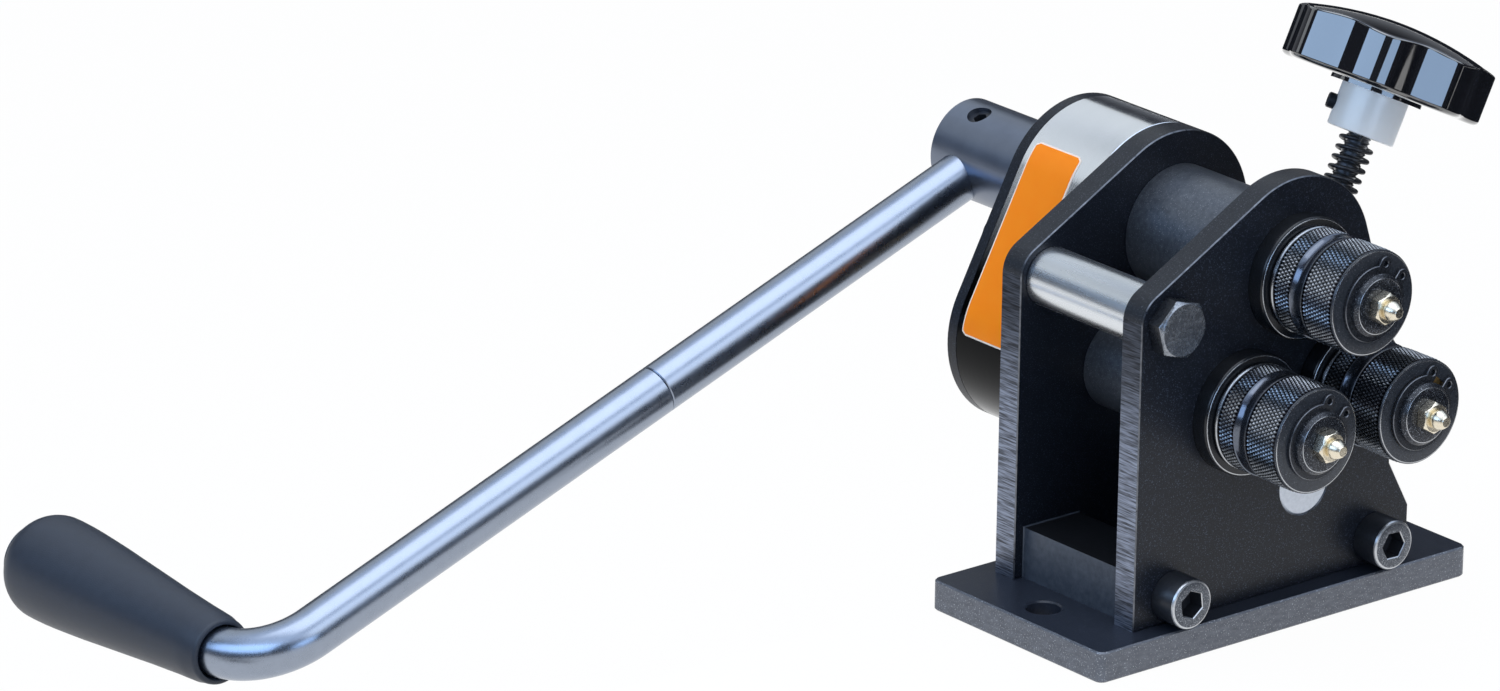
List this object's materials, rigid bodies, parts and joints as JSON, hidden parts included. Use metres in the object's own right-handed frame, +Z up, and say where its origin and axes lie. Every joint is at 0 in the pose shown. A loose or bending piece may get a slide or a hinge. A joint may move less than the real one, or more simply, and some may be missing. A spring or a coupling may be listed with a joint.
{
  "type": "hand ring roller",
  "caption": "Bench hand tool that bends flat bar and wire into rings between overhung knurled rollers, with an offset crank, a gear case and a screw-set idler roller.",
  "frame": {"origin": "middle of the base plate's underside, at the centre of the bench bolt pattern", "axes": "+X to the right seen from the rollers, along the base plate and the crank's reach; +Y from the rollers to the crank; +Z up from the bench"},
  "size_m": [0.4028, 0.3087, 0.1923],
  "materials": {
    "black_plate": "semi-matt black, fine speckle",
    "base_grey": "dark grey, satin",
    "black_oxide": "blackened steel, oiled",
    "roller_steel": "hardened and blackened, bright on the crests",
    "bright_steel": "ground steel",
    "chrome": "polished",
    "crank_steel": "gun-metal, glossy",
    "case_steel": "polished band",
    "zinc": "zinc plated",
    "brass": "pale, satin",
    "bronze": "sintered bronze",
    "label": "printed film",
    "knob_plastic": "glossy black",
    "grip_plastic": "matt, dark",
    "spring_steel": "black"
  },
  "bodies": {
    "frame": {"base_plate": "base_grey", "front_plate": "black_plate", "rear_plate": "black_plate", "left_foot_block": "black_plate", "right_foot_block": "black_plate", "plate_screws": "bright_steel", "base_screws": "black_oxide", "stay_tube": "chrome", "stay_bolt": "black_oxide", "cross_pin": "zinc", "upper_bearing_tube": "black_oxide", "lower_bearing_tube": "black_oxide", "upper_front_bush": "black_oxide", "lower_front_bush": "black_oxide", "upper_rear_bush": "black_oxide", "lower_rear_bush": "black_oxide", "gear_case_band": "case_steel", "gear_case_cover": "black_plate", "cover_bushes": "bronze", "case_bolt": "black_oxide", "cover_screws": "black_oxide", "case_label": "label"},
    "crank": {"upper_shaft": "bright_steel", "upper_roller": "roller_steel", "upper_washer": "black_oxide", "upper_keys": "bright_steel", "upper_circlip": "black_oxide", "upper_nipple": "brass", "upper_gear": "black_oxide", "crank_hub": "crank_steel", "hub_set_screw": "black_oxide", "crank_bar_inner": "crank_steel", "crank_bar_outer": "crank_steel", "bar_joint_stud": "bright_steel", "grip_screw": "zinc"},
    "lower_drive": {"lower_shaft": "bright_steel", "lower_roller": "roller_steel", "lower_washer": "black_oxide", "lower_keys": "bright_steel", "lower_circlip": "black_oxide", "lower_nipple": "brass", "lower_gear": "black_oxide"},
    "carriage": {"carriage": "black_oxide", "idler_axle": "bright_steel", "idler_collar": "black_oxide", "idler_circlip": "black_oxide", "idler_nipple": "brass", "spring_washer": "zinc", "spring": "spring_steel"},
    "idler": {"idler_roller": "roller_steel", "idler_bush": "bronze", "idler_washer": "black_oxide"},
    "screw": {"adjusting_screw": "bright_steel", "thrust_ring": "black_oxide", "knob_collar": "zinc", "knob_set_screw": "black_oxide", "knob": "knob_plastic"},
    "grip_body": {"grip": "grip_plastic"}
  },
  "joints": [
    {"name": "crank_turn", "type": "hinge", "parent": "frame", "child": "crank", "pos_m": [0.0055, 0, 0.1132], "axis": [0, 1, 0], "continuous": true},
    {"name": "lower_shaft_turn", "type": "hinge", "parent": "frame", "child": "lower_drive", "pos_m": [-0.0156, 0, 0.0734], "axis": [0, 1, 0], "continuous": true},
    {"name": "carriage_slide", "type": "slide", "parent": "frame", "child": "carriage", "axis": [0.4425, 0, 0.8968], "range_m": [-0.006, 0.008]},
    {"name": "knob_turn", "type": "hinge", "parent": "carriage", "child": "screw", "pos_m": [0.0272, -0.0015, 0.0734], "axis": [0.4425, 0, 0.8968], "range_deg": [-1728, 2304]},
    {"name": "idler_spin", "type": "hinge", "parent": "carriage", "child": "idler", "pos_m": [0.0272, 0, 0.0734], "axis": [0, 1, 0], "continuous": true},
    {"name": "grip_spin", "type": "hinge", "parent": "crank", "child": "grip_body", "pos_m": [-0.2829, 0.17, 0.00652], "axis": [0, 1, 0], "continuous": true}
  ],
  "couplings": [
    {"joint": "lower_shaft_turn", "follows": "crank_turn", "ratio": -1},
    {"joint": "knob_turn", "follows": "carriage_slide", "rad_per_m": 5026.5}
  ]
}
